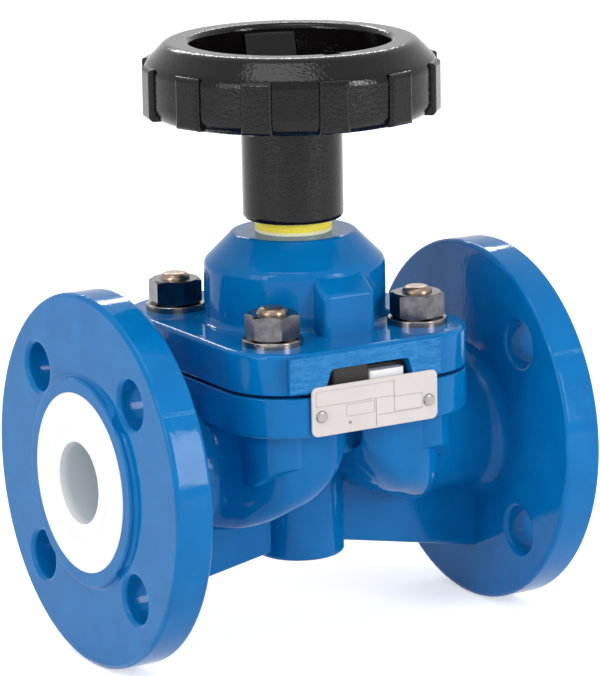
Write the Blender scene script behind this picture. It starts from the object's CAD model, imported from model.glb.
# %% [markdown]
# # A flanged diaphragm valve, dressed for the camera
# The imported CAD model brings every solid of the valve: castings, lining, diaphragm, spindle, wheel.
# This lesson adds what a solid model lacks: enamel, grain, turned steel, the soft flow of the
# castings, the print on the plate, the threads at the ends of the studs, and a small studio. Sizes
# are metres, except where a name or a comment says millimetres.

# %% Load the frame
import math

import bmesh
import bpy
from mathutils import Matrix, Vector


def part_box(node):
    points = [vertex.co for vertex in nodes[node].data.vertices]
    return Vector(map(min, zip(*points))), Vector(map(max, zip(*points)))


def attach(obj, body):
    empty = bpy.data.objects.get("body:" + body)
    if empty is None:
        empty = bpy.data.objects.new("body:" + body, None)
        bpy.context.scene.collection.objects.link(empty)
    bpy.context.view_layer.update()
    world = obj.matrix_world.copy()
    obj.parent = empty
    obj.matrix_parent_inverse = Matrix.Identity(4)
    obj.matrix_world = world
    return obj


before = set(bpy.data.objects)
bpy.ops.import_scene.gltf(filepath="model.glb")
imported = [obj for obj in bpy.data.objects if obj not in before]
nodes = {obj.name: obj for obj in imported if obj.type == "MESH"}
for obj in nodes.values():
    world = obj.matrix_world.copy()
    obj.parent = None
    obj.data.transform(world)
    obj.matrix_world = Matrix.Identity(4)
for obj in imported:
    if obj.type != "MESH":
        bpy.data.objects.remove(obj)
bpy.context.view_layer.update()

# %% [markdown]
# ## The photographer's place
# The angles below came from fitting circles to the pipe flange in the photograph, whose size is
# known. With the angles and the distance known, the camera is a plain matrix: where it stands,
# and which way its right, up and back vectors point. A long lens keeps the flanges nearly round.

# %% Camera
camera_azimuth = math.radians(-30.313)
camera_elevation = math.radians(13.085)
camera_roll = math.radians(-1.090)
camera_distance = 1.72552
aim_right = 0.0009
aim_up = 0.04396
pipe_axis_height = 0.075
lens_in_pixels = 4260.357
photo_height = 676


def camera_matrix():
    a, e, r = camera_azimuth, camera_elevation, camera_roll
    forward = Vector((-math.sin(a) * math.cos(e), math.cos(a) * math.cos(e), -math.sin(e)))
    level_right = Vector((math.cos(a), math.sin(a), 0))
    level_up = level_right.cross(forward)
    right = math.cos(r) * level_right + math.sin(r) * level_up
    up = -math.sin(r) * level_right + math.cos(r) * level_up
    place = Vector((0, 0, pipe_axis_height)) - forward * camera_distance + right * aim_right + up * aim_up
    matrix = Matrix((right, up, -forward)).transposed().to_4x4()
    matrix.translation = place
    return matrix


lens = bpy.data.cameras.new("photo_camera")
lens.sensor_width = 36
lens.lens = lens_in_pixels / photo_height * lens.sensor_width
camera = bpy.data.objects.new("photo_camera", lens)
bpy.context.collection.objects.link(camera)
camera.matrix_world = camera_matrix()
bpy.context.scene.camera = camera
bpy.context.scene.view_settings.view_transform = "Standard"
print("camera at", [round(v, 3) for v in camera.location], "lens", round(lens.lens, 1))

# %% [markdown]
# ## The studio
# The valve was shot on white, under large soft lamps, so its enamel shows broad pale reflections
# and thin bright edges. A whole room could be built for that, but a plain floor, a white world and
# a few area lamps give the same. Floor and world are pure white only for the rays that look at
# them: the camera's, and those mirrored or let through. The light on the valve stays plain.

# %% Rays that look
def math_node(tree, operation, first, second=0.0, clamp=False):
    """One Math node. A number goes on its socket, and anything else is linked."""
    node = tree.nodes.new("ShaderNodeMath")
    node.operation = operation
    node.use_clamp = clamp
    for socket, value in zip(node.inputs, (first, second)):
        if isinstance(value, (int, float)):
            socket.default_value = value
        else:
            tree.links.new(value, socket)
    return node.outputs[0]


def rays_that_look(tree):
    """1 for the camera's rays and for mirrored or refracted ones, and 0 for rays that carry light."""
    path = tree.nodes.new("ShaderNodeLightPath")
    seen = math_node(tree, "MAXIMUM", path.outputs["Is Camera Ray"], path.outputs["Is Glossy Ray"])
    return math_node(tree, "MAXIMUM", seen, path.outputs["Is Transmission Ray"])


print("white for camera, glossy and transmission rays")

# %% Floor
floor_half = 6.0
floor_drop = 0.0002
paper_white = 0.93
paper_glow = 0.55


def studio_paper():
    material = bpy.data.materials.new("studio_paper")
    material.use_nodes = True
    tree = material.node_tree
    paper = tree.nodes["Principled BSDF"]
    paper.inputs["Base Color"].default_value = (paper_white, paper_white, paper_white, 1)
    paper.inputs["Roughness"].default_value = 0.9
    paper.inputs["Specular IOR Level"].default_value = 0.1
    paper.inputs["Emission Color"].default_value = (1, 1, 1, 1)
    glow = math_node(tree, "MULTIPLY", rays_that_look(tree), paper_glow)
    tree.links.new(glow, paper.inputs["Emission Strength"])
    return material


def plain_floor():
    corners = [(x * floor_half, y * floor_half, 0) for x, y in ((-1, -1), (1, -1), (1, 1), (-1, 1))]
    mesh = bpy.data.meshes.new("studio_floor")
    mesh.from_pydata(corners, [], [(0, 1, 2, 3)])
    mesh.materials.append(studio_paper())
    floor = bpy.data.objects.new("studio_floor", mesh)
    bpy.context.collection.objects.link(floor)
    floor.location.z = -floor_drop


plain_floor()
print("floor", 2 * floor_half, "m wide")

# %% World
world_level = 0.59


def white_world():
    world = bpy.data.worlds.new("studio_world")
    bpy.context.scene.world = world
    world.use_nodes = True
    tree = world.node_tree
    background = tree.nodes["Background"]
    background.inputs["Color"].default_value = (1, 1, 1, 1)
    level = tree.nodes.new("ShaderNodeMapRange")
    level.inputs["To Min"].default_value = world_level
    level.inputs["To Max"].default_value = 1.0
    tree.links.new(rays_that_look(tree), level.inputs["Value"])
    tree.links.new(level.outputs["Result"], background.inputs["Strength"])


white_world()
print("world light", world_level)

# %% Lamps
lamp_aim = Vector((0, 0, 0.12))


def soft_lamp(name, place, width, height, watts):
    """A rectangular area lamp that looks at the middle of the valve."""
    lamp = bpy.data.lights.new(name, "AREA")
    lamp.shape = "RECTANGLE"
    lamp.size = width
    lamp.size_y = height
    lamp.energy = watts
    holder = bpy.data.objects.new(name, lamp)
    bpy.context.collection.objects.link(holder)
    holder.location = place
    holder.rotation_euler = (lamp_aim - Vector(place)).to_track_quat("-Z", "Y").to_euler()
    print(name, watts, "W")


soft_lamp("overhead_box", (-0.30, -0.30, 1.35), width=0.8, height=0.5, watts=4)
soft_lamp("front_right_box", (0.62, -1.36, 0.55), width=0.5, height=0.8, watts=7)
soft_lamp("front_right_strip", (0.60, -1.30, 0.58), width=0.16, height=0.8, watts=3.5)
soft_lamp("left_box", (-1.45, -0.25, 0.55), width=0.42, height=0.8, watts=2.8)
soft_lamp("left_strip", (-1.36, -0.56, 0.60), width=0.18, height=0.8, watts=3.5)
soft_lamp("small_window", (-1.15, -0.60, 1.00), width=0.22, height=0.12, watts=2.2)
soft_lamp("back_strip", (0.5, 1.2, 0.9), width=0.9, height=0.12, watts=5)

# %% [markdown]
# ## Shader groups
# Several finishes share an effect: enamel, plastic and steel all get a faint film of dust, and
# both plastics have a moulded grain. Each material could hold its own copy, but a node group holds
# such an effect once, with named inputs, and puts out masks and heights. Each material keeps its
# own shader and its own numbers. First come the small helpers that every group needs.

# %% Helpers for node trees
def new_group(name, inputs, outputs):
    """An empty group, with its input and output nodes."""
    tree = bpy.data.node_groups.new(name, "ShaderNodeTree")
    for label, value in inputs:
        socket = tree.interface.new_socket(label, in_out="INPUT", socket_type="NodeSocketFloat")
        socket.default_value = value
    for label in outputs:
        tree.interface.new_socket(label, in_out="OUTPUT", socket_type="NodeSocketFloat")
    print("group", name)
    return tree, tree.nodes.new("NodeGroupInput"), tree.nodes.new("NodeGroupOutput")


def object_place(tree):
    return tree.nodes.new("ShaderNodeTexCoord").outputs["Object"]


def place_parts(tree):
    """The X, Y and Z of the point that is shaded, in the valve's own frame."""
    parts = tree.nodes.new("ShaderNodeSeparateXYZ")
    tree.links.new(object_place(tree), parts.inputs[0])
    return parts.outputs["X"], parts.outputs["Y"], parts.outputs["Z"]


def noise(tree, scale, detail=2.0, vector=None, roughness=0.5):
    node = tree.nodes.new("ShaderNodeTexNoise")
    tree.links.new(vector or object_place(tree), node.inputs["Vector"])
    node.inputs["Detail"].default_value = detail
    node.inputs["Roughness"].default_value = roughness
    if isinstance(scale, (int, float)):
        node.inputs["Scale"].default_value = scale
    else:
        tree.links.new(scale, node.inputs["Scale"])
    return node.outputs["Fac"]


def remap(tree, value, low, high, to_low=0.0, to_high=1.0):
    node = tree.nodes.new("ShaderNodeMapRange")
    tree.links.new(value, node.inputs["Value"])
    for label, number in (("From Min", low), ("From Max", high), ("To Min", to_low), ("To Max", to_high)):
        node.inputs[label].default_value = number
    return node.outputs["Result"]


def sum_of_squares(tree, first, second):
    return math_node(tree, "ADD", math_node(tree, "MULTIPLY", first, first),
                     math_node(tree, "MULTIPLY", second, second))


print("helpers for node trees ready")

# %% [markdown]
# ### Enamel and grain
# Thick enamel dries with a fine orange peel over slower waves: two noises, added. Moulded plastic
# has a leathery grain, made of small cells with soft borders, so a Voronoi texture fits. A little
# noise bends its place, because straight borders between cells would look cut.

# %% Enamel skin
def enamel_skin():
    """Orange peel of thick enamel, with slower waves where it ran before it set."""
    sizes = [("Peel Scale", 330.0), ("Wave Scale", 70.0), ("Wave Share", 0.6)]
    tree, start, end = new_group("enamel_skin", sizes, ["Height", "Tone"])
    peel = noise(tree, start.outputs["Peel Scale"], detail=1.5)
    wave = noise(tree, start.outputs["Wave Scale"], detail=1.0)
    share = math_node(tree, "MULTIPLY", wave, start.outputs["Wave Share"])
    tree.links.new(math_node(tree, "ADD", peel, share), end.inputs["Height"])
    tree.links.new(remap(tree, wave, 0.3, 0.7), end.inputs["Tone"])
    return tree


groups = {"skin": enamel_skin()}

# %% Moulded grain
def moulded_grain():
    """Leathery grain that a spark-eroded mould leaves in plastic."""
    sizes = [("Grain Scale", 620.0), ("Grain Warp", 0.0012)]
    tree, start, end = new_group("moulded_grain", sizes, ["Height", "Gloss Breakup"])
    place = object_place(tree)
    cells = tree.nodes.new("ShaderNodeTexVoronoi")
    cells.feature = "DISTANCE_TO_EDGE"
    warp = tree.nodes.new("ShaderNodeTexNoise")
    tree.links.new(place, warp.inputs["Vector"])
    tree.links.new(start.outputs["Grain Scale"], warp.inputs["Scale"])
    bend = tree.nodes.new("ShaderNodeVectorMath")
    bend.operation = "MULTIPLY_ADD"
    tree.links.new(warp.outputs["Color"], bend.inputs[0])
    tree.links.new(start.outputs["Grain Warp"], bend.inputs[1])
    tree.links.new(place, bend.inputs[2])
    tree.links.new(bend.outputs["Vector"], cells.inputs["Vector"])
    tree.links.new(start.outputs["Grain Scale"], cells.inputs["Scale"])
    tree.links.new(remap(tree, cells.outputs["Distance"], 0.0, 0.28), end.inputs["Height"])
    tree.links.new(remap(tree, noise(tree, 160.0, detail=3.0), 0.35, 0.65), end.inputs["Gloss Breakup"])
    return tree


groups["grain"] = moulded_grain()

# %% [markdown]
# ### Dust and turning marks
# Dust settles on faces that look up, so the normal gives its mask, and a fine noise breaks it.
# A lathe leaves rings round a piece's centre line. A noise read along the distance from that line
# and along the height is the same all the way round, which is just what a ring is.

# %% Settled dust
def settled_dust():
    """Mask of fine dust: more on faces that look up, broken by noise."""
    tree, start, end = new_group("settled_dust", [("Amount", 0.15)], ["Mask"])
    facing = tree.nodes.new("ShaderNodeSeparateXYZ")
    tree.links.new(tree.nodes.new("ShaderNodeNewGeometry").outputs["Normal"], facing.inputs[0])
    upward = remap(tree, facing.outputs["Z"], 0.2, 1.0, 0.15, 1.0)
    specks = remap(tree, noise(tree, 900.0, detail=4.0), 0.45, 0.75, 0.2, 1.0)
    both = math_node(tree, "MULTIPLY", upward, specks)
    tree.links.new(math_node(tree, "MULTIPLY", both, start.outputs["Amount"], clamp=True), end.inputs["Mask"])
    return tree


groups["dust"] = settled_dust()

# %% Turning marks
def turning_marks():
    """Fine rings of a lathe tool, round upright centre lines that mirror across both middle planes."""
    sizes = [("Centre X", 0.0), ("Centre Y", 0.0), ("Ring Scale", 2600.0)]
    tree, start, end = new_group("turning_marks", sizes, ["Height", "Gloss Breakup"])
    x, y, z = place_parts(tree)
    across = math_node(tree, "SUBTRACT", math_node(tree, "ABSOLUTE", x), start.outputs["Centre X"])
    along = math_node(tree, "SUBTRACT", math_node(tree, "ABSOLUTE", y), start.outputs["Centre Y"])
    radius = math_node(tree, "SQRT", sum_of_squares(tree, across, along))
    line = tree.nodes.new("ShaderNodeCombineXYZ")
    tree.links.new(radius, line.inputs["X"])
    tree.links.new(z, line.inputs["Y"])
    rings = noise(tree, start.outputs["Ring Scale"], vector=line.outputs[0])
    tree.links.new(rings, end.inputs["Height"])
    tree.links.new(remap(tree, noise(tree, 220.0, detail=3.0), 0.3, 0.7), end.inputs["Gloss Breakup"])
    return tree


groups["turned"] = turning_marks()

# %% [markdown]
# ## Materials
# Each finish is a Principled shader. Its constant numbers sit on its own sockets; what changes
# over the surface comes through the groups: two colours mixed by a mask, roughness between two
# limits, and a Bump node for the normal. One function wires that up, so that a finish takes only
# a few lines.

# %% Build a finish
# The Mix node has sockets for every kind of value. These are the ones for colours.
mix_factor, mix_first, mix_second, mixed_colour = 0, 6, 7, 2
dust_colour = (0.42, 0.41, 0.39)


def place_group(tree, key, settings=None):
    node = tree.nodes.new("ShaderNodeGroup")
    node.node_tree = groups[key]
    for label, number in (settings or {}).items():
        node.inputs[label].default_value = number
    return node


def mix_colour(tree, mask, low, high):
    """One colour where the mask is 0 and the other where it is 1."""
    node = tree.nodes.new("ShaderNodeMix")
    node.data_type = "RGBA"
    tree.links.new(mask, node.inputs[mix_factor])
    for socket, value in ((node.inputs[mix_first], low), (node.inputs[mix_second], high)):
        if isinstance(value, tuple):
            socket.default_value = (*value, 1)
        else:
            tree.links.new(value, socket)
    return node.outputs[mixed_colour]


def finish(name, colours, rough, relief, bump_mm, settings=None, dust=0.12, metallic=0.0, ior=1.45):
    """A finish whose colour and roughness wander between two values, with relief from a group."""
    material = bpy.data.materials.new(name)
    material.use_nodes = True
    tree = material.node_tree
    shader = tree.nodes["Principled BSDF"]
    pattern = place_group(tree, relief, settings)
    height, breakup = pattern.outputs[0], pattern.outputs[1]
    film = place_group(tree, "dust", {"Amount": dust})
    clean = mix_colour(tree, breakup, *colours)
    tree.links.new(mix_colour(tree, film.outputs["Mask"], clean, dust_colour), shader.inputs["Base Color"])
    tree.links.new(remap(tree, breakup, 0.0, 1.0, *rough), shader.inputs["Roughness"])
    shader.inputs["Metallic"].default_value = metallic
    shader.inputs["IOR"].default_value = ior
    bump = tree.nodes.new("ShaderNodeBump")
    bump.inputs["Strength"].default_value = 1.0
    bump.inputs["Distance"].default_value = bump_mm / 1000
    tree.links.new(height, bump.inputs["Height"])
    tree.links.new(bump.outputs["Normal"], shader.inputs["Normal"])
    return material


print("a finish mixes two colours, two roughness limits, dust and one of", list(groups))

# %% [markdown]
# Some finishes change by place: paint thins on a rough pad, a lining looks darker in a bore. Two
# more helpers add that to a finish that is already wired, by stepping in before the shader's
# colour and before the Bump node's height. The last helper puts a finish on the valve's pieces.

# %% Change a finish by place, and dress pieces
def tint(material, mask, colour):
    """Mixes a colour into a finish where a mask is white."""
    tree = material.node_tree
    target = tree.nodes["Principled BSDF"].inputs["Base Color"]
    tree.links.new(mix_colour(tree, mask, target.links[0].from_socket, colour), target)


def roughen(material, extra):
    """Adds a height to the relief of a finish."""
    tree = material.node_tree
    target = next(node for node in tree.nodes if node.type == "BUMP").inputs["Height"]
    tree.links.new(math_node(tree, "ADD", target.links[0].from_socket, extra), target)


def dress(material, *names):
    for name in names:
        mesh = nodes[name].data
        mesh.materials.clear()
        mesh.materials.append(material)
    print(material.name, "->", ", ".join(names))


print("finishes can be tinted and roughened by a mask")

# %% [markdown]
# ### Blue enamel
# The castings were dipped or sprayed with a thick glossy enamel. It is smooth to the hand, but
# reflections wobble, because the paint follows the sand casting's slow waves. On the raised pad
# at the front of the bonnet the casting is rougher and the paint thinner. That relief could be
# modelled, but it is only tenths of a millimetre deep, so a mask by place adds it to the bump.

# %% Enamel on the castings
bonnet_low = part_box("bonnet")[0]
pad_depth = 0.0003
pad_foot = 0.0002
pad_streaks = (0.45, 1.0, 1.3)
pad_relief = 6.5
pad_thin_paint = 0.45


def rough_pad(tree):
    """Streaky mask on the bonnet's front pad, found by its place."""
    _, y, z = place_parts(tree)
    in_front = math_node(tree, "LESS_THAN", y, bonnet_low[1] + pad_depth)
    above = math_node(tree, "GREATER_THAN", z, bonnet_low[2] + pad_foot)
    stretch = tree.nodes.new("ShaderNodeMapping")
    stretch.inputs["Scale"].default_value = pad_streaks
    tree.links.new(object_place(tree), stretch.inputs["Vector"])
    streaks = noise(tree, 420.0, detail=3.0, vector=stretch.outputs[0], roughness=0.65)
    return math_node(tree, "MULTIPLY", math_node(tree, "MULTIPLY", in_front, above),
                     remap(tree, streaks, 0.35, 0.7))


enamel = finish("blue_enamel", colours=((0.0004, 0.150, 0.42), (0.0003, 0.130, 0.38)), rough=(0.06, 0.12),
                relief="skin", bump_mm=0.055, dust=0.004, ior=1.23)
pad_mask = rough_pad(enamel.node_tree)
roughen(enamel, math_node(enamel.node_tree, "MULTIPLY", pad_mask, pad_relief))
tint(enamel, math_node(enamel.node_tree, "MULTIPLY", pad_mask, pad_thin_paint), (0.035, 0.27, 0.58))
dress(enamel, "valve_body", "bonnet")

# %% [markdown]
# ### The flow of the casting
# The solids give the two passage lobes as plain round shapes. In the sand casting the neck runs
# softly into each lobe, so a skin of the same enamel lies over them. It is a loft of rows, with a
# curve through them that fills in the rest. All its edges end inside the casting: in the neck, in
# the flange above and in the wall at the weir. A table and a plain mesh say that more clearly than
# a node tree would, and the other lobe is the same mesh turned half round.
#
# Each row gives the distance from the weir, the half width, the lowest point, the height where the
# straight side starts, and how far the row has gone from the neck's circle to the full lobe.

# %% Rows of one lobe, in millimetres
lobe_rows = [(-57.0, 41.0, -25.0, 1.0, 0.0),
             (-53.5, 41.0, -25.0, 1.0, 0.0),
             (-50.0, 41.0, -25.2, 1.0, 0.16),
             (-46.0, 41.0, -25.2, 1.0, 0.58),
             (-42.0, 41.0, -25.0, 1.0, 1.0),
             (-35.0, 48.3, -22.9, 2.0, 1.0),
             (-27.0, 50.8, -19.6, 3.0, 1.0),
             (-20.0, 50.9, -17.2, 5.0, 1.0),
             (-13.0, 50.3, -11.4, 7.0, 1.0),
             (-8.0, 48.0, -5.8, 10.0, 1.0),
             (-4.4, 45.0, 2.0, 13.6, 1.0),
             (-4.2, 43.4, 3.8, 14.4, 1.0),
             (-8.0, 40.0, 5.0, 16.0, 1.0)]
row_steps = 5


def curve_through(before, start, end, after, share):
    """Catmull-Rom value between start and end."""
    slope_in, slope_out = (end - before) / 2, (after - start) / 2
    a = 2 * start - 2 * end + slope_in + slope_out
    b = -3 * start + 3 * end - 2 * slope_in - slope_out
    return ((a * share + b) * share + slope_in) * share + start


def smooth_rows(rows):
    last = len(rows) - 1
    fine = []
    for i in range(last):
        around = [rows[max(i - 1, 0)], rows[i], rows[i + 1], rows[min(i + 2, last)]]
        for step in range(row_steps):
            fine.append([curve_through(*column, step / row_steps) for column in zip(*around)])
    return fine + [list(rows[last])]


print(len(lobe_rows), "rows become", len(smooth_rows(lobe_rows)))

# %% [markdown]
# A cross-section is a straight side and a quarter of a full, rounded bottom, and then the same
# mirrored. The bottom is a superellipse: a fullness of 2 would be an ellipse, and more swells it
# toward a box, as a casting over a wide passage is. At the neck the row is a plain circle instead.

# %% One cross-section, in millimetres
neck_skin_radius = 26.5
skin_top = 22.0
side_steps = 6
quarter_steps = 18
fullness = 2.7


def half_ring():
    """Shares along one side, then turns round a quarter of the bottom."""
    side = [(step / side_steps, 0.0) for step in range(side_steps)]
    return side + [(1.0, math.pi / 2 * step / quarter_steps) for step in range(quarter_steps + 1)]


def lobe_ring(x, half, low, side, blend):
    """From the left edge under the flange, round the bottom, to the right edge."""
    top_turn = math.asin(skin_top / neck_skin_radius)
    swell = 2 / fullness
    left = []
    for straight, turn in half_ring():
        circle_turn = turn - top_turn * (1 - straight)
        circle = (neck_skin_radius * math.cos(circle_turn), -neck_skin_radius * math.sin(circle_turn))
        out = max(math.cos(turn), 0.0) ** swell
        down = math.sin(turn) ** swell
        lobe = (half * out, side - (side - low) * down + (skin_top - side) * (1 - straight))
        left.append([c + (f - c) * blend for c, f in zip(circle, lobe)])
    ring = [(x, -y, z) for y, z in left]
    return ring + [(x, y, z) for y, z in reversed(left[:-1])]


print("a ring has", len(lobe_ring(*lobe_rows[0])), "points")

# %% [markdown]
# The rings are joined by quads into a sheet, and Solidify gives the sheet its thickness inwards,
# so that the meshes stay closed. The sheet is an open trough, so its faces must look down on the
# whole. If they don't, they are turned round before the sheet gets its thickness.

# %% The skin over both lobes
skin_thickness = 0.0006


def lobe_sheet(name, sign):
    """The rings of one lobe as a sheet. The sign turns it half round."""
    shape = bmesh.new()
    grid = []
    for row in smooth_rows(lobe_rows):
        ring = lobe_ring(*row)
        grid.append([shape.verts.new((sign * x / 1000, sign * y / 1000, z / 1000 + pipe_axis_height))
                     for x, y, z in ring])
    for near, far in zip(grid, grid[1:]):
        for i in range(len(near) - 1):
            face = shape.faces.new((near[i], far[i], far[i + 1], near[i + 1]))
            face.smooth = True
            face.normal_update()
    if sum(face.normal.z * face.calc_area() for face in shape.faces) > 0:
        bmesh.ops.reverse_faces(shape, faces=shape.faces)
    mesh = bpy.data.meshes.new(name)
    shape.to_mesh(mesh)
    shape.free()
    mesh.materials.append(enamel)
    return mesh


def thickened(name, sheet):
    """Gives a sheet its thickness, inwards, and keeps the result as a plain mesh object."""
    holder = bpy.data.objects.new(name, sheet)
    bpy.context.collection.objects.link(holder)
    wall = holder.modifiers.new("wall", "SOLIDIFY")
    wall.thickness = skin_thickness
    wall.offset = -1
    graph = bpy.context.evaluated_depsgraph_get()
    result = bpy.data.meshes.new_from_object(holder.evaluated_get(graph), depsgraph=graph)
    holder.modifiers.remove(wall)
    holder.data = result
    bpy.data.meshes.remove(sheet)
    result.name = name
    print(name, len(result.polygons), "faces")
    return holder


for skin_name, sign in (("inlet_lobe_skin", 1), ("outlet_lobe_skin", -1)):
    skin = thickened(skin_name, lobe_sheet(skin_name, sign))
    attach(skin, "root")

# %% [markdown]
# ### Plastics and rubber
# The wheel is a grained black plastic that still shines, and the lining a waxy white fluoroplastic.
# The diaphragm is black rubber with a white face. They differ in colour, gloss and grain and not
# in kind, so each is one call of the same function with its own numbers. The inner pieces are
# dressed too, because the valve can be opened up in the model.

# %% Plastics and rubber
wheel_black = finish("wheel_black", colours=((0.0045, 0.0038, 0.0036), (0.0035, 0.0030, 0.0030)),
                     rough=(0.06, 0.13), relief="grain", bump_mm=0.032, settings={"Grain Scale": 480.0},
                     dust=0.004, ior=1.33)
lining_white = finish("lining_white", colours=((0.87, 0.88, 0.89), (0.89, 0.90, 0.90)), rough=(0.34, 0.46),
                      relief="skin", bump_mm=0.012, settings={"Peel Scale": 500.0}, dust=0.05, ior=1.35)
diaphragm_white = finish("diaphragm_white", colours=((0.86, 0.87, 0.87), (0.82, 0.83, 0.83)),
                         rough=(0.38, 0.5), relief="grain", bump_mm=0.012, dust=0.05)
rubber_black = finish("rubber_black", colours=((0.022, 0.020, 0.020), (0.030, 0.027, 0.026)),
                      rough=(0.52, 0.68), relief="grain", bump_mm=0.03, settings={"Grain Scale": 900.0},
                      dust=0.06, ior=1.35)
pad_plastic = finish("pad_plastic", colours=((0.72, 0.70, 0.64), (0.76, 0.74, 0.69)), rough=(0.4, 0.5),
                     relief="turned", bump_mm=0.01, dust=0.05)
dress(wheel_black, "handwheel")
dress(lining_white, "body_lining")
dress(diaphragm_white, "diaphragm_face")
dress(rubber_black, "diaphragm_backing", "hub_wiper_ring", "spindle_seal")
dress(pad_plastic, "compressor_thrust_pad")

# %% [markdown]
# ### The bore seen through its skin
# The lining is a translucent skin. It is bright on the raised faces, but in the bore it lies thin
# over dark iron, which shows through as a cool grey. A mask by place mixes the second colour in:
# the distance from the pipe's axis finds the bore, and the depth fades it out near the mouth.

# %% Tone in the bore
mouth_radius = 0.0172
passage_end = 0.09
tone_full, tone_none = 0.0955, 0.0992


def bore_tone(tree):
    x, y, z = place_parts(tree)
    above_axis = math_node(tree, "SUBTRACT", z, pipe_axis_height)
    from_axis = math_node(tree, "SQRT", sum_of_squares(tree, above_axis, y))
    narrow = math_node(tree, "LESS_THAN", from_axis, mouth_radius)
    depth = math_node(tree, "ABSOLUTE", x)
    inside = math_node(tree, "MAXIMUM", narrow, math_node(tree, "LESS_THAN", depth, passage_end))
    return math_node(tree, "MULTIPLY", inside, remap(tree, depth, tone_full, tone_none, 1.0, 0.0))


tint(lining_white, bore_tone(lining_white.node_tree), (0.58, 0.64, 0.68))
print("bore tone inside radius", mouth_radius)

# %% [markdown]
# ### Steel, bronze and iron
# Nuts, washers and studs are turned or rolled steel that has aged differently: the nuts are dark,
# the washers bright and the studs' ends stained brown. Their rings run round the studs' centre
# lines, so the studs' box gives the centre, and the group mirrors it to all four.

# %% Metals
stud_radius = 0.006
stud_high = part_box("bonnet_studs")[1]
stud_x, stud_y = stud_high[0] - stud_radius, stud_high[1] - stud_radius
stud_centre = {"Centre X": stud_x, "Centre Y": stud_y}
nut_steel = finish("nut_steel", colours=((0.15, 0.15, 0.16), (0.07, 0.07, 0.08)), rough=(0.12, 0.22),
                   relief="turned", bump_mm=0.012, settings=stud_centre, dust=0.04, metallic=1.0)
washer_steel = finish("washer_steel", colours=((0.30, 0.27, 0.25), (0.20, 0.18, 0.17)), rough=(0.16, 0.28),
                      relief="turned", bump_mm=0.010, settings=stud_centre, dust=0.05, metallic=1.0)
stained_steel = finish("stained_steel", colours=((0.34, 0.26, 0.20), (0.20, 0.15, 0.11)), rough=(0.24, 0.40),
                       relief="turned", bump_mm=0.02, settings=stud_centre, dust=0.10, metallic=1.0)
rivet_steel = finish("rivet_steel", colours=((0.34, 0.32, 0.31), (0.24, 0.23, 0.22)), rough=(0.18, 0.30),
                     relief="turned", bump_mm=0.010, dust=0.05, metallic=1.0)
turned_steel = finish("turned_steel", colours=((0.56, 0.56, 0.56), (0.50, 0.50, 0.51)), rough=(0.2, 0.32),
                      relief="turned", bump_mm=0.012, dust=0.06, metallic=1.0)
bronze = finish("turned_bronze", colours=((0.60, 0.42, 0.20), (0.50, 0.33, 0.15)), rough=(0.26, 0.4),
                relief="turned", bump_mm=0.012, dust=0.06, metallic=1.0)
plain_iron = finish("plain_iron", colours=((0.13, 0.13, 0.14), (0.18, 0.18, 0.18)), rough=(0.5, 0.65),
                    relief="skin", bump_mm=0.08, settings={"Peel Scale": 600.0}, dust=0.15, metallic=0.6)
dress(nut_steel, "bonnet_nuts")
dress(washer_steel, "bonnet_washers")
dress(stained_steel, "bonnet_studs")
dress(rivet_steel, "nameplate_rivets", "handwheel_washer", "handwheel_nut", "spindle_pins", "diaphragm_stud")
dress(turned_steel, "spindle")
dress(bronze, "spindle_bush")
dress(plain_iron, "compressor")

# %% [markdown]
# ### The yellow indicator and the plate
# The sleeve is one colour with a paler lip at its foot, where the plastic is thin: a mask by
# height does that. The plate is sheet metal printed off-white, so it is satin and slightly warm.

# %% Yellow sleeve
sleeve_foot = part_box("indicator_sleeve")[0][2]
pale_lip = 0.0011
lip_fade = 1.3
indicator = finish("indicator_yellow", colours=((0.96, 0.80, 0.07), (0.94, 0.76, 0.06)),
                   rough=(0.24, 0.36), relief="skin", bump_mm=0.008, dust=0.03, ior=1.38)
lip_start, lip_end = sleeve_foot + pale_lip, sleeve_foot + pale_lip * lip_fade
sleeve_z = place_parts(indicator.node_tree)[2]
tint(indicator, remap(indicator.node_tree, sleeve_z, lip_start, lip_end, 1.0, 0.0), (0.93, 0.87, 0.55))
dress(indicator, "indicator_sleeve")
print("sleeve foot at", round(sleeve_foot, 4))

# %% Plate
plate_silver = finish("plate_silver", colours=((0.59, 0.545, 0.53), (0.55, 0.505, 0.49)),
                      rough=(0.36, 0.5), relief="skin", bump_mm=0.006, settings={"Peel Scale": 700.0},
                      dust=0.04, ior=1.38)
dress(plate_silver, "nameplate")

# %% [markdown]
# ## Print on the plate
# A plate like this is printed with plain boxes. Each box is a path on the plate. Strips could be
# cut out of the plate's face, but Geometry Nodes turn the paths into strips of ink by themselves:
# a curve from the edges, a flat profile along it, and a material at the end. The strips stand a
# few hundredths of a millimetre proud, so they never fight with the plate's face.

# %% A tree that lays ink along paths
def input_sockets(tree, sizes):
    """The geometry input and the named sizes of a Geometry Nodes tree."""
    tree.interface.new_socket("Geometry", in_out="INPUT", socket_type="NodeSocketGeometry")
    for label, value in sizes:
        socket = tree.interface.new_socket(label, in_out="INPUT", socket_type="NodeSocketFloat")
        socket.default_value = value
    tree.interface.new_socket("Geometry", in_out="OUTPUT", socket_type="NodeSocketGeometry")


def made_real(tree, geometry, material, end):
    """Ends a tree: instances become real, and the result gets its material."""
    real = tree.nodes.new("GeometryNodeRealizeInstances")
    paint = tree.nodes.new("GeometryNodeSetMaterial")
    paint.inputs["Material"].default_value = material
    tree.links.new(geometry, real.inputs["Geometry"])
    tree.links.new(real.outputs["Geometry"], paint.inputs["Geometry"])
    tree.links.new(paint.outputs["Geometry"], end.inputs["Geometry"])


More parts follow.
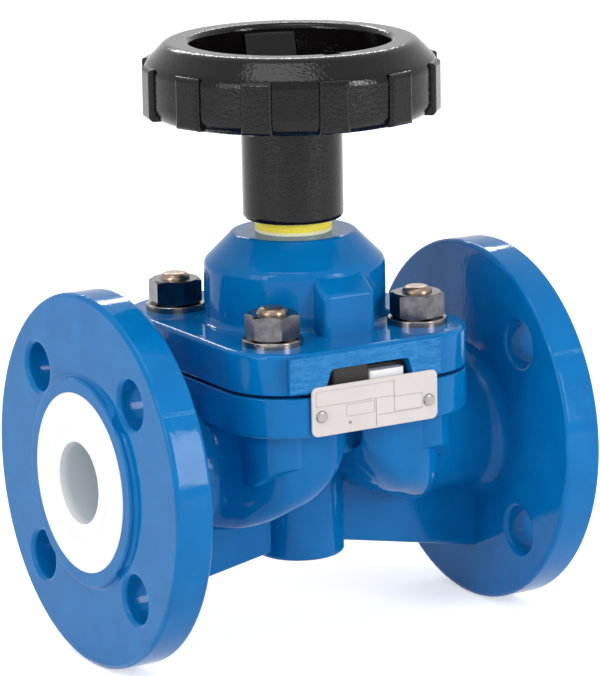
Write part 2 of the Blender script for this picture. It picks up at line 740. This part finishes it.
def ink_tree(material):
    tree = bpy.data.node_groups.new("ink_along_paths", "GeometryNodeTree")
    input_sockets(tree, (("Line Width", 0.0002), ("Ink Height", 0.00004)))
    start, end = tree.nodes.new("NodeGroupInput"), tree.nodes.new("NodeGroupOutput")
    path = tree.nodes.new("GeometryNodeMeshToCurve")
    profile = tree.nodes.new("GeometryNodeCurvePrimitiveQuadrilateral")
    strip = tree.nodes.new("GeometryNodeCurveToMesh")
    strip.inputs["Fill Caps"].default_value = True
    link = tree.links.new
    link(start.outputs["Geometry"], path.inputs["Mesh"])
    link(start.outputs["Line Width"], profile.inputs["Width"])
    link(start.outputs["Ink Height"], profile.inputs["Height"])
    link(path.outputs["Curve"], strip.inputs["Curve"])
    link(profile.outputs["Curve"], strip.inputs["Profile Curve"])
    made_real(tree, strip.outputs["Mesh"], material, end)
    return tree


ink = finish("plate_ink", colours=((0.20, 0.19, 0.19), (0.26, 0.25, 0.24)), rough=(0.5, 0.62), relief="skin",
             bump_mm=0.002, dust=0.05)
lay_ink = ink_tree(ink)
print("tree", lay_ink.name)

# %% [markdown]
# A tree only works through a modifier. Its sizes are set by the sockets' identifiers, and the
# evaluated object then gives a plain mesh, so that nothing live is left for the export.

# %% Run a tree once
def input_identifier(tree, label):
    inputs = [item for item in tree.interface.items_tree if item.in_out == "INPUT"]
    return next(item.identifier for item in inputs if item.name == label)


def grown(name, mesh, tree, sizes):
    """Runs a Geometry Nodes tree on a mesh and keeps the result as a plain mesh object."""
    holder = bpy.data.objects.new(name, mesh)
    bpy.context.collection.objects.link(holder)
    modifier = holder.modifiers.new("grow", "NODES")
    modifier.node_group = tree
    for label, value in sizes.items():
        modifier[input_identifier(tree, label)] = value
    graph = bpy.context.evaluated_depsgraph_get()
    result = bpy.data.meshes.new_from_object(holder.evaluated_get(graph), depsgraph=graph)
    result.name = name
    holder.modifiers.remove(modifier)
    holder.data = result
    bpy.data.meshes.remove(mesh)
    print(name, len(result.vertices), "points")
    return holder


print("the line width is set through", input_identifier(lay_ink, "Line Width"))

# %% [markdown]
# The boxes are given in shares of the plate: across from its left edge, and down from its top.
# They are thin grey lines, and a small round mark sits under the middle box, as in the picture.

# %% The boxes
plate_low, plate_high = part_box("nameplate")
print_boxes = [(0.03, 0.09, 0.65, 0.39), (0.65, 0.42, 0.875, 0.72), (0.27, 0.43, 0.49, 0.67)]
print_lines = [(0.505, 0.39, 0.505, 0.95), (0.505, 0.74, 0.875, 0.74), (0.65, 0.07, 0.65, 0.42)]
ink_line_width = 0.00022
ink_proud = 0.00003


def on_plate(across, down):
    x = plate_low[0] + across * (plate_high[0] - plate_low[0])
    z = plate_high[2] - down * (plate_high[2] - plate_low[2])
    return (x, plate_low[1] - ink_proud / 2, z)


def plate_paths():
    points, edges = [], []
    for left, top, right, bottom in print_boxes:
        first = len(points)
        corners = ((left, top), (right, top), (right, bottom), (left, bottom))
        points += [on_plate(across, down) for across, down in corners]
        edges += [(first + i, first + (i + 1) % 4) for i in range(4)]
    for left, top, right, bottom in print_lines:
        first = len(points)
        points += [on_plate(left, top), on_plate(right, bottom)]
        edges.append((first, first + 1))
    mesh = bpy.data.meshes.new("plate_paths")
    mesh.from_pydata(points, edges, [])
    return mesh


plate_print = grown("plate_print", plate_paths(), lay_ink,
                    {"Line Width": ink_line_width, "Ink Height": ink_proud * 2})
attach(plate_print, "root")

# %% The round mark
mark_place = on_plate(0.298, 0.80)
mark_radius = 0.00075
mark_taper = 0.85
mark_thickness = 0.00008
mark_sides = 24


def round_mark(name):
    """A low cone that stands on the plate, with its flat end to the front."""
    shape = bmesh.new()
    turn = Matrix.Rotation(math.pi / 2, 4, "X")
    bmesh.ops.create_cone(shape, cap_ends=True, segments=mark_sides, radius1=mark_radius,
                          radius2=mark_radius * mark_taper, depth=mark_thickness,
                          matrix=Matrix.Translation(mark_place) @ turn)
    mesh = bpy.data.meshes.new(name)
    shape.to_mesh(mesh)
    shape.free()
    mesh.materials.append(ink)
    mark = bpy.data.objects.new(name, mesh)
    bpy.context.collection.objects.link(mark)
    return mark


plate_mark = round_mark("plate_mark")
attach(plate_mark, "root")
print("mark", 2000 * mark_radius, "mm across")

# %% [markdown]
# ## Threads at the ends of the studs
# Each stud stands a little out of its nut, and the last turn or two of its thread shows there.
# A helix is a curve that Blender can make by rule, so Geometry Nodes put one on each stud: a
# spiral swept with a small round profile, one copy at each point of a four-point mesh.

# %% A tree that winds a thread at each point
spiral_points = 48
wire_sides = 8


def thread_tree(material):
    tree = bpy.data.node_groups.new("thread_crests", "GeometryNodeTree")
    input_sockets(tree, (("Crest Radius", 0.0056), ("Turns", 1.2), ("Pitch", 0.00175), ("Wire", 0.0003)))
    start, end = tree.nodes.new("NodeGroupInput"), tree.nodes.new("NodeGroupOutput")
    spiral = tree.nodes.new("GeometryNodeCurveSpiral")
    spiral.inputs["Resolution"].default_value = spiral_points
    rise = tree.nodes.new("ShaderNodeMath")
    rise.operation = "MULTIPLY"
    profile = tree.nodes.new("GeometryNodeCurvePrimitiveCircle")
    profile.inputs["Resolution"].default_value = wire_sides
    sweep = tree.nodes.new("GeometryNodeCurveToMesh")
    sweep.inputs["Fill Caps"].default_value = True
    copies = tree.nodes.new("GeometryNodeInstanceOnPoints")
    link = tree.links.new
    link(start.outputs["Turns"], spiral.inputs["Rotations"])
    link(start.outputs["Crest Radius"], spiral.inputs["Start Radius"])
    link(start.outputs["Crest Radius"], spiral.inputs["End Radius"])
    link(start.outputs["Turns"], rise.inputs[0])
    link(start.outputs["Pitch"], rise.inputs[1])
    link(rise.outputs[0], spiral.inputs["Height"])
    link(start.outputs["Wire"], profile.inputs["Radius"])
    link(spiral.outputs["Curve"], sweep.inputs["Curve"])
    link(profile.outputs["Curve"], sweep.inputs["Profile Curve"])
    link(start.outputs["Geometry"], copies.inputs["Points"])
    link(sweep.outputs["Mesh"], copies.inputs["Instance"])
    made_real(tree, copies.outputs["Instances"], material, end)
    return tree


wind_thread = thread_tree(stained_steel)
print("tree", wind_thread.name)

# %% Thread crests on the four studs
crest_sizes = {"Crest Radius": stud_radius - 0.00012, "Turns": 1.1, "Pitch": 0.00175, "Wire": 0.00028}
crest_sink = 0.0009
crest_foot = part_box("bonnet_nuts")[1][2] - crest_sink
stud_points = bpy.data.meshes.new("stud_points")
stud_points.from_pydata([(sx * stud_x, sy * stud_y, crest_foot) for sx in (-1, 1) for sy in (-1, 1)], [], [])
crests = grown("stud_thread_crests", stud_points, wind_thread, crest_sizes)
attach(crests, "root")
